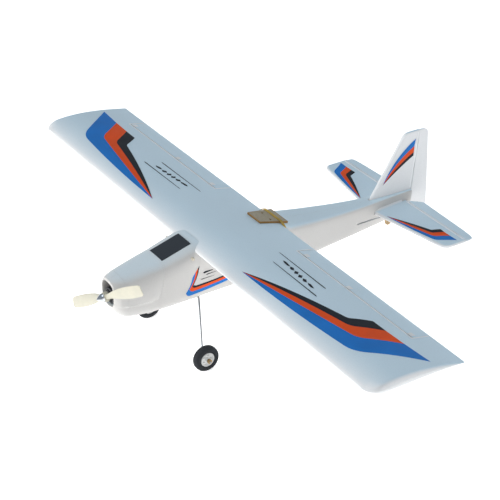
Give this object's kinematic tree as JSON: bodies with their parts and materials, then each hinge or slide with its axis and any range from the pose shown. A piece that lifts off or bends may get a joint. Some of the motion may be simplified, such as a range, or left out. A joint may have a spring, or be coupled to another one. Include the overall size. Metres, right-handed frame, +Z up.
{
  "type": "rc foam airplane",
  "caption": "Foam high-wing radio-control airplane with electric propeller, working ailerons, elevator and rudder, wire main gear and tail skid",
  "frame": {"origin": "middle of the ground footprint box, on the ground, airplane standing on its two wheels and tail skid", "axes": "+X along the span to the left wing, -Y towards the nose, +Z up"},
  "size_m": [0.8, 0.5343, 0.1884],
  "materials": {
    "foam_body": "matte",
    "foam_wing": "matte",
    "white_plastic": "satin",
    "steel_wire": "satin",
    "screen_black": "satin",
    "magnet": "gloss",
    "carbon": "satin",
    "plywood_grey": "matte",
    "servo_blue": "satin",
    "plywood": "matte",
    "dowel_wood": "matte",
    "rubber_band": "matte",
    "dark_screw": "satin",
    "tyre": "matte",
    "hub_plastic": "satin",
    "brass": "satin",
    "aluminium": "satin",
    "black_metal": "gloss",
    "copper": "gloss",
    "prop_ivory": "satin",
    "polished_alloy": "polished",
    "battery_wrap": "gloss",
    "strap": "matte",
    "electronics": "satin"
  },
  "bodies": {
    "airframe": {"fuselage_left": "foam_body", "fuselage_right": "foam_body", "windscreen": "screen_black", "body_magnets": "magnet", "wing": "foam_wing", "wing_spar": "carbon", "wing_plate": "plywood_grey", "servo_aileron_left": "servo_blue", "servo_aileron_right": "servo_blue", "servo_elevator": "servo_blue", "servo_rudder": "servo_blue", "servo_tray": "plywood", "stabilizer": "foam_wing", "fixed_hinges": "white_plastic", "fin": "foam_wing", "tail_skid": "plywood", "dowels": "dowel_wood", "wing_band": "rubber_band", "gear_wire": "steel_wire", "gear_plate": "white_plastic", "screws": "dark_screw", "wheel_collars": "brass", "firewall": "plywood", "motor_mount": "aluminium", "motor_stator": "black_metal", "stator_windings": "copper", "battery_tray": "plywood", "battery": "battery_wrap", "battery_strap": "strap", "speed_controller": "electronics", "receiver": "electronics"},
    "hatch": {"canopy_hatch": "foam_body", "hatch_magnets": "magnet"},
    "propeller_set": {"motor_bell": "black_metal", "bell_magnets": "magnet", "prop_shaft": "steel_wire", "propeller": "prop_ivory", "spinner_nut": "polished_alloy"},
    "aileron_left": {"aileron_left": "foam_wing", "aileron_fittings_left": "white_plastic"},
    "aileron_right": {"aileron_right": "foam_wing", "aileron_fittings_right": "white_plastic"},
    "pushrod_aileron_left": {"pushrod_aileron_left": "steel_wire"},
    "pushrod_aileron_right": {"pushrod_aileron_right": "steel_wire"},
    "servo_arm_aileron_left": {"arm_aileron_left": "white_plastic"},
    "servo_arm_aileron_right": {"arm_aileron_right": "white_plastic"},
    "elevator": {"elevator_left": "foam_wing", "elevator_right": "foam_wing", "elevator_joiner": "steel_wire", "elevator_fittings": "white_plastic"},
    "pushrod_elevator": {"pushrod_elevator": "steel_wire"},
    "servo_arm_elevator": {"arm_elevator": "white_plastic"},
    "rudder": {"rudder": "foam_wing", "rudder_fittings": "white_plastic"},
    "pushrod_rudder": {"pushrod_rudder": "steel_wire"},
    "servo_arm_rudder": {"arm_rudder": "white_plastic"},
    "wheel_left": {"tyre_left": "tyre", "hub_left": "hub_plastic"},
    "wheel_right": {"tyre_right": "tyre", "hub_right": "hub_plastic"}
  },
  "joints": [
    {"name": "hatch_lift", "type": "slide", "parent": "airframe", "child": "hatch", "axis": [0, 0.2119, 0.9773], "range_m": [0, 0.06]},
    {"name": "propeller_spin", "type": "hinge", "parent": "airframe", "child": "propeller_set", "pos_m": [0, -0.25385, 0.12605], "axis": [0, -0.9773, 0.2119], "continuous": true},
    {"name": "aileron_left_hinge", "type": "hinge", "parent": "airframe", "child": "aileron_left", "pos_m": [0.214, -0.02465, 0.11893], "axis": [1, 0, 0], "range_deg": [-20, 20]},
    {"name": "aileron_right_hinge", "type": "hinge", "parent": "airframe", "child": "aileron_right", "pos_m": [-0.214, -0.02465, 0.11893], "axis": [1, 0, 0], "range_deg": [-20, 20]},
    {"name": "pushrod_aileron_left_pin", "type": "hinge", "parent": "aileron_left", "child": "pushrod_aileron_left", "pos_m": [0.214, -0.0272, 0.1072], "axis": [1, 0, 0], "range_deg": [-20, 20]},
    {"name": "servo_aileron_left_output", "type": "hinge", "parent": "airframe", "child": "servo_arm_aileron_left", "pos_m": [0.214, -0.07089, 0.12987], "axis": [1, 0, 0], "range_deg": [-20, 20]},
    {"name": "pushrod_aileron_right_pin", "type": "hinge", "parent": "aileron_right", "child": "pushrod_aileron_right", "pos_m": [-0.214, -0.0272, 0.1072], "axis": [1, 0, 0], "range_deg": [-20, 20]},
    {"name": "servo_aileron_right_output", "type": "hinge", "parent": "airframe", "child": "servo_arm_aileron_right", "pos_m": [-0.214, -0.07089, 0.12987], "axis": [1, 0, 0], "range_deg": [-20, 20]},
    {"name": "elevator_hinge", "type": "hinge", "parent": "airframe", "child": "elevator", "pos_m": [0, 0.20977, 0.02738], "axis": [1, 0, 0], "range_deg": [-20, 20]},
    {"name": "pushrod_elevator_pin", "type": "hinge", "parent": "elevator", "child": "pushrod_elevator", "pos_m": [0.0103, 0.20723, 0.01565], "axis": [1, 0, 0], "range_deg": [-20, 20]},
    {"name": "servo_elevator_output", "type": "hinge", "parent": "airframe", "child": "servo_arm_elevator", "pos_m": [0.0103, -0.04825, 0.10214], "axis": [1, 0, 0], "range_deg": [-20, 20]},
    {"name": "rudder_hinge", "type": "hinge", "parent": "airframe", "child": "rudder", "pos_m": [0, 0.22196, 0.03364], "axis": [0, 0.3206, 0.9472], "range_deg": [-25, 25]},
    {"name": "pushrod_rudder_pin", "type": "hinge", "parent": "rudder", "child": "pushrod_rudder", "pos_m": [-0.012, 0.22196, 0.03364], "axis": [0, 0.3206, 0.9472], "range_deg": [-25, 25]},
    {"name": "servo_rudder_output", "type": "hinge", "parent": "airframe", "child": "servo_arm_rudder", "pos_m": [0, -0.07576, 0.10739], "axis": [0, 0.3206, 0.9472], "range_deg": [-25, 25]},
    {"name": "wheel_left_spin", "type": "hinge", "parent": "airframe", "child": "wheel_left", "pos_m": [0.0745, -0.1727, 0.018], "axis": [1, 0, 0], "continuous": true},
    {"name": "wheel_right_spin", "type": "hinge", "parent": "airframe", "child": "wheel_right", "pos_m": [-0.0745, -0.1727, 0.018], "axis": [1, 0, 0], "continuous": true}
  ],
  "couplings": [
    {"joint": "pushrod_aileron_left_pin", "follows": "aileron_left_hinge", "ratio": -1},
    {"joint": "servo_aileron_left_output", "follows": "aileron_left_hinge", "ratio": 1},
    {"joint": "pushrod_aileron_right_pin", "follows": "aileron_left_hinge", "ratio": 1},
    {"joint": "servo_aileron_right_output", "follows": "aileron_left_hinge", "ratio": -1},
    {"joint": "aileron_right_hinge", "follows": "aileron_left_hinge", "ratio": -1},
    {"joint": "pushrod_elevator_pin", "follows": "elevator_hinge", "ratio": -1},
    {"joint": "servo_elevator_output", "follows": "elevator_hinge", "ratio": 1},
    {"joint": "pushrod_rudder_pin", "follows": "rudder_hinge", "ratio": -1},
    {"joint": "servo_rudder_output", "follows": "rudder_hinge", "ratio": 1}
  ]
}
